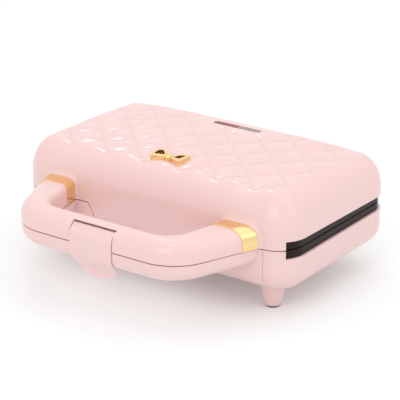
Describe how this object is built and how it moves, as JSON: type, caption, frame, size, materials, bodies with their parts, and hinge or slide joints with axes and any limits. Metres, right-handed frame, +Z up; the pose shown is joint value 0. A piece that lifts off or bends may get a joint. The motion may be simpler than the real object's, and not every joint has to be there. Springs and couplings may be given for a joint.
{
  "type": "waffle maker",
  "caption": "Clamshell waffle maker shaped like a quilted handbag, with a hinged lid, non-stick waffle plates, split carry handle, swinging latch clip and bow ornament.",
  "frame": {"origin": "on the surface the object stands on, under the middle of its bounding box", "axes": "+X to the right along the width, +Y from the handle towards the hinge, +Z up"},
  "size_m": [0.237, 0.2172, 0.0932],
  "materials": {
    "pink_abs": "moulded, high gloss",
    "gold_plating": "polished gold plating",
    "non_stick_coating": "cast aluminium with a dark non-stick coating",
    "red_lens": "tinted, clear",
    "grey_lens": "tinted, clear",
    "black_rubber": "moulded, matt",
    "zinc_steel": "zinc plated",
    "element_sheath": "drawn tube",
    "pan_sheet": "rolled sheet",
    "phenolic": "moulded, matt",
    "ceramic": "unglazed",
    "lamp_glass": "clear bulb",
    "board_laminate": "paper laminate"
  },
  "bodies": {
    "base": {"base_shell": "pink_abs", "lower_plate": "non_stick_coating", "lower_plate_screws": "zinc_steel", "lower_heating_element": "element_sheath", "lower_reflector": "pan_sheet", "lower_handle": "pink_abs", "lower_handle_screws": "zinc_steel", "left_hinge_pin": "zinc_steel", "right_hinge_pin": "zinc_steel", "front_left_foot": "pink_abs", "front_left_foot_pad": "black_rubber", "front_right_foot": "pink_abs", "front_right_foot_pad": "black_rubber", "rear_left_foot": "pink_abs", "rear_left_foot_pad": "black_rubber", "rear_right_foot": "pink_abs", "rear_right_foot_pad": "black_rubber", "thermostat": "phenolic", "thermal_fuse": "ceramic", "terminal_block": "phenolic", "terminal_screws": "zinc_steel", "cord_gland": "phenolic"},
    "lid": {"lid_shell": "pink_abs", "upper_plate": "non_stick_coating", "upper_plate_screws": "zinc_steel", "upper_heating_element": "element_sheath", "upper_reflector": "pan_sheet", "upper_handle": "pink_abs", "upper_handle_screws": "zinc_steel", "left_handle_band": "gold_plating", "right_handle_band": "gold_plating", "latch_pin": "zinc_steel", "bow_ornament": "gold_plating", "power_lens": "red_lens", "ready_lens": "grey_lens", "power_lamp": "lamp_glass", "ready_lamp": "lamp_glass", "lamp_board": "board_laminate"},
    "latch": {"latch": "pink_abs"}
  },
  "joints": [
    {"name": "lid_hinge", "type": "hinge", "parent": "base", "child": "lid", "pos_m": [0, 0.10265, 0.052], "axis": [-1, 0, 0], "range_deg": [0, 100]},
    {"name": "latch_pivot", "type": "hinge", "parent": "lid", "child": "latch", "pos_m": [0, -0.10205, 0.0626], "axis": [-1, 0, 0], "range_deg": [0, 50]}
  ]
}
